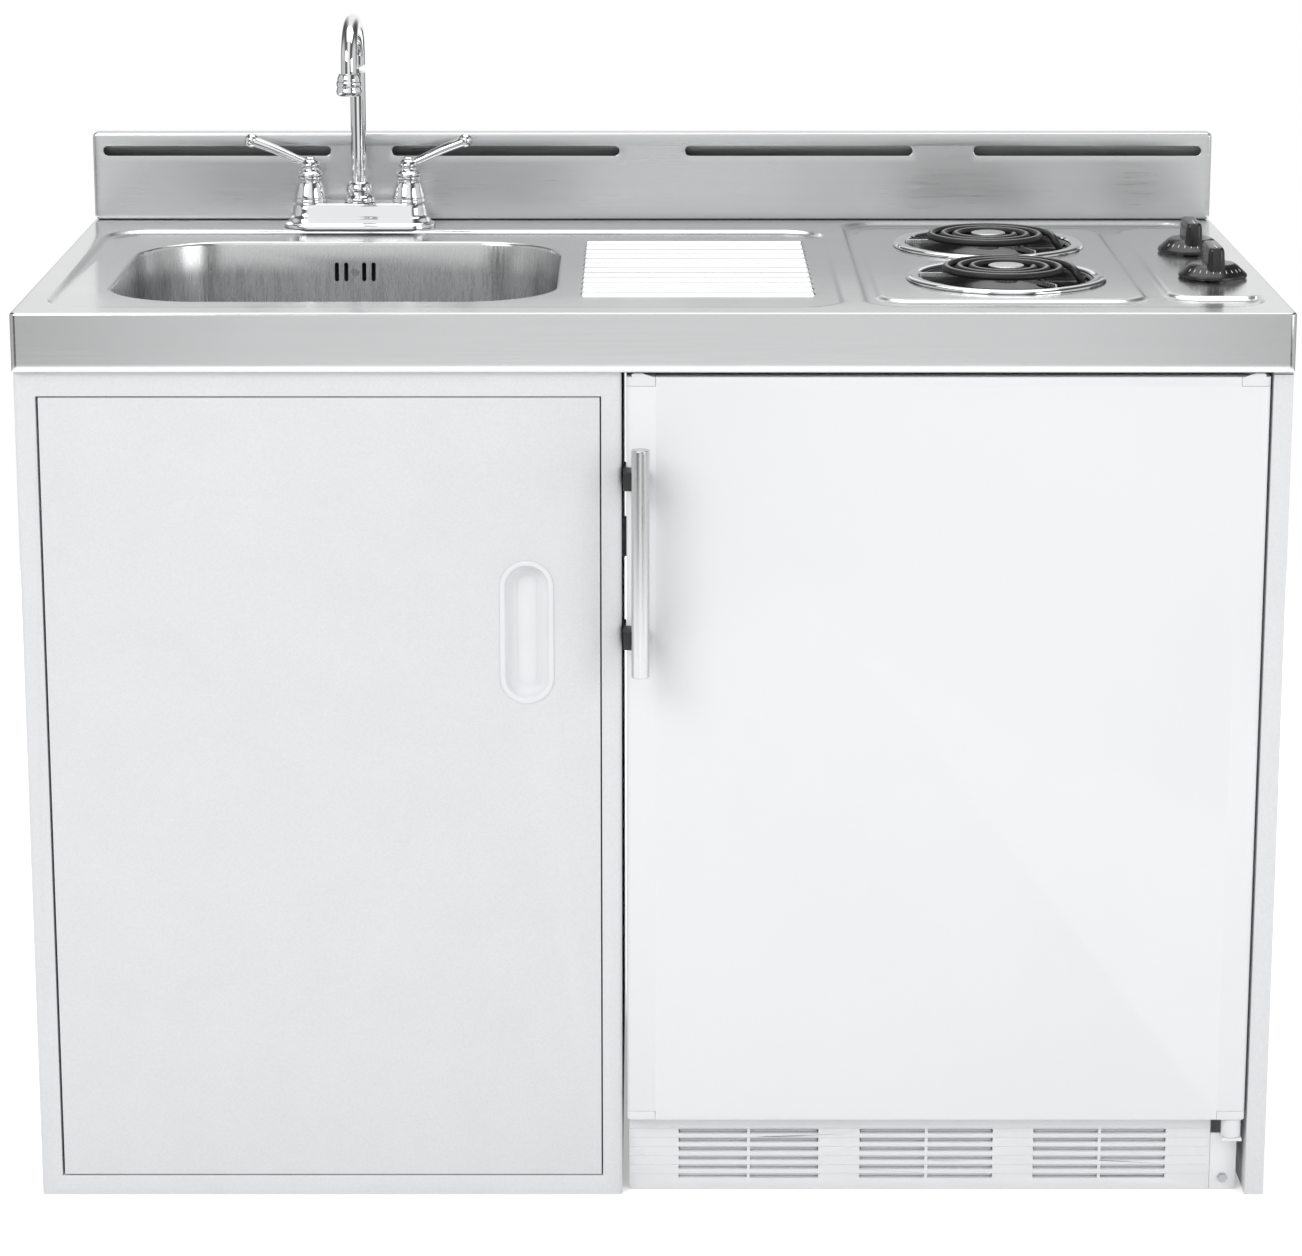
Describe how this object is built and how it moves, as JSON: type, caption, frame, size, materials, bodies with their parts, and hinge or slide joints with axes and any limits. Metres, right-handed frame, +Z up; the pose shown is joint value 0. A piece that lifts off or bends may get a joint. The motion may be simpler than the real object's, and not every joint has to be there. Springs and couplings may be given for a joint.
{
  "type": "compact kitchenette unit",
  "caption": "Compact kitchenette: stainless worktop with sink, tap, drainer and electric coil rings over a cupboard and a small fridge.",
  "frame": {"origin": "on the floor, below the centre of the unit's overall width and depth", "axes": "+X to the right seen from the front, +Y from the front to the back, +Z up"},
  "size_m": [1.2192, 0.6606, 1.1261],
  "materials": {
    "brushed_steel": "brushed",
    "bowl_steel": "brushed",
    "chrome": "polished",
    "heater_sheath": "satin",
    "black_enamel": "gloss",
    "black_plastic": "gloss",
    "black_moulding": "matte",
    "powder_coat": "textured",
    "white_paint": "satin",
    "white_plastic": "satin",
    "gasket_rubber": "matte",
    "shelf_glass": "clear",
    "zinc": "satin",
    "ceramic": "matte"
  },
  "bodies": {
    "cabinet": {"worktop": "brushed_steel", "backguard": "brushed_steel", "sink_bowl": "bowl_steel", "overflow_housing": "black_moulding", "strainer_body": "chrome", "waste_trap": "white_plastic", "tap_body": "chrome", "spout_nut": "chrome", "cabinet_shell": "powder_coat", "cabinet_floor": "powder_coat", "cabinet_back": "powder_coat", "right_side_panel": "powder_coat", "rear_rail": "zinc", "hinge_pin_upper": "zinc", "hinge_pin_lower": "zinc", "fridge_cabinet": "white_paint", "fridge_liner": "white_plastic", "upper_shelf": "shelf_glass", "lower_shelf": "shelf_glass", "crisper": "white_plastic", "compressor": "black_enamel", "condenser": "heater_sheath", "lower_hinge_bracket": "white_paint", "lower_hinge_pin": "white_plastic", "upper_hinge": "zinc", "kick_grille": "white_plastic", "front_trim_ring": "chrome", "front_drip_bowl": "black_enamel", "front_terminal_block": "ceramic", "front_infinite_switch": "zinc", "rear_trim_ring": "chrome", "rear_drip_bowl": "black_enamel", "rear_terminal_block": "ceramic", "rear_infinite_switch": "zinc"},
    "cupboard_door": {"cabinet_door": "powder_coat", "pull_cup": "white_plastic"},
    "fridge_door_set": {"fridge_door": "white_paint", "door_liner": "white_plastic", "door_gasket": "gasket_rubber", "handle_bar": "brushed_steel", "handle_bracket_upper": "black_moulding", "handle_bracket_lower": "black_moulding", "door_cap_upper_left": "white_plastic", "door_cap_upper_right": "white_plastic", "door_cap_lower_left": "white_plastic", "door_cap_lower_right": "white_plastic"},
    "spout_set": {"spout": "chrome", "aerator": "chrome"},
    "hot_tap": {"hot_handle": "chrome"},
    "cold_tap": {"cold_handle": "chrome"},
    "front_ring_set": {"front_coil_element": "heater_sheath", "front_coil_support": "zinc"},
    "rear_ring_set": {"rear_coil_element": "heater_sheath", "rear_coil_support": "zinc"},
    "front_control": {"front_knob": "black_plastic", "front_switch_shaft": "zinc"},
    "rear_control": {"rear_knob": "black_plastic", "rear_switch_shaft": "zinc"},
    "sink_basket": {"strainer_basket": "chrome"},
    "thermostat": {"thermostat_dial": "white_plastic"}
  },
  "joints": [
    {"name": "cupboard_door_swing", "type": "hinge", "parent": "cabinet", "child": "cupboard_door", "pos_m": [-0.5788, -0.2777, 0.415], "axis": [0, 0, -1], "range_deg": [0, 105]},
    {"name": "fridge_door_swing", "type": "hinge", "parent": "cabinet", "child": "fridge_door_set", "pos_m": [0.5756, -0.2752, 0.455], "axis": [0, 0, 1], "range_deg": [0, 110]},
    {"name": "spout_swivel", "type": "hinge", "parent": "cabinet", "child": "spout_set", "pos_m": [-0.316, 0.2653, 0.93], "axis": [0, 0, 1], "range_deg": [-110, 110]},
    {"name": "hot_tap_turn", "type": "hinge", "parent": "cabinet", "child": "hot_tap", "pos_m": [-0.369, 0.2653, 0.94], "axis": [0, 0, 1], "range_deg": [0, 90]},
    {"name": "cold_tap_turn", "type": "hinge", "parent": "cabinet", "child": "cold_tap", "pos_m": [-0.263, 0.2653, 0.94], "axis": [0, 0, -1], "range_deg": [0, 90]},
    {"name": "front_ring_tilt", "type": "hinge", "parent": "cabinet", "child": "front_ring_set", "pos_m": [0.452, -0.0807, 0.8833], "axis": [0, 1, 0], "range_deg": [0, 8]},
    {"name": "rear_ring_tilt", "type": "hinge", "parent": "cabinet", "child": "rear_ring_set", "pos_m": [0.452, 0.1353, 0.8833], "axis": [0, 1, 0], "range_deg": [0, 8]},
    {"name": "basket_lift", "type": "slide", "parent": "cabinet", "child": "sink_basket", "axis": [0, 0, 1], "range_m": [0, 0.26]},
    {"name": "thermostat_turn", "type": "hinge", "parent": "cabinet", "child": "thermostat", "pos_m": [0.53, -0.0884, 0.7], "axis": [-1, 0, 0], "range_deg": [0, 270]},
    {"name": "front_control_turn", "type": "hinge", "parent": "cabinet", "child": "front_control", "pos_m": [0.558, -0.0787, 0.9], "axis": [0, 0, 1], "continuous": true},
    {"name": "rear_control_turn", "type": "hinge", "parent": "cabinet", "child": "rear_control", "pos_m": [0.558, 0.0853, 0.9], "axis": [0, 0, 1], "continuous": true}
  ]
}
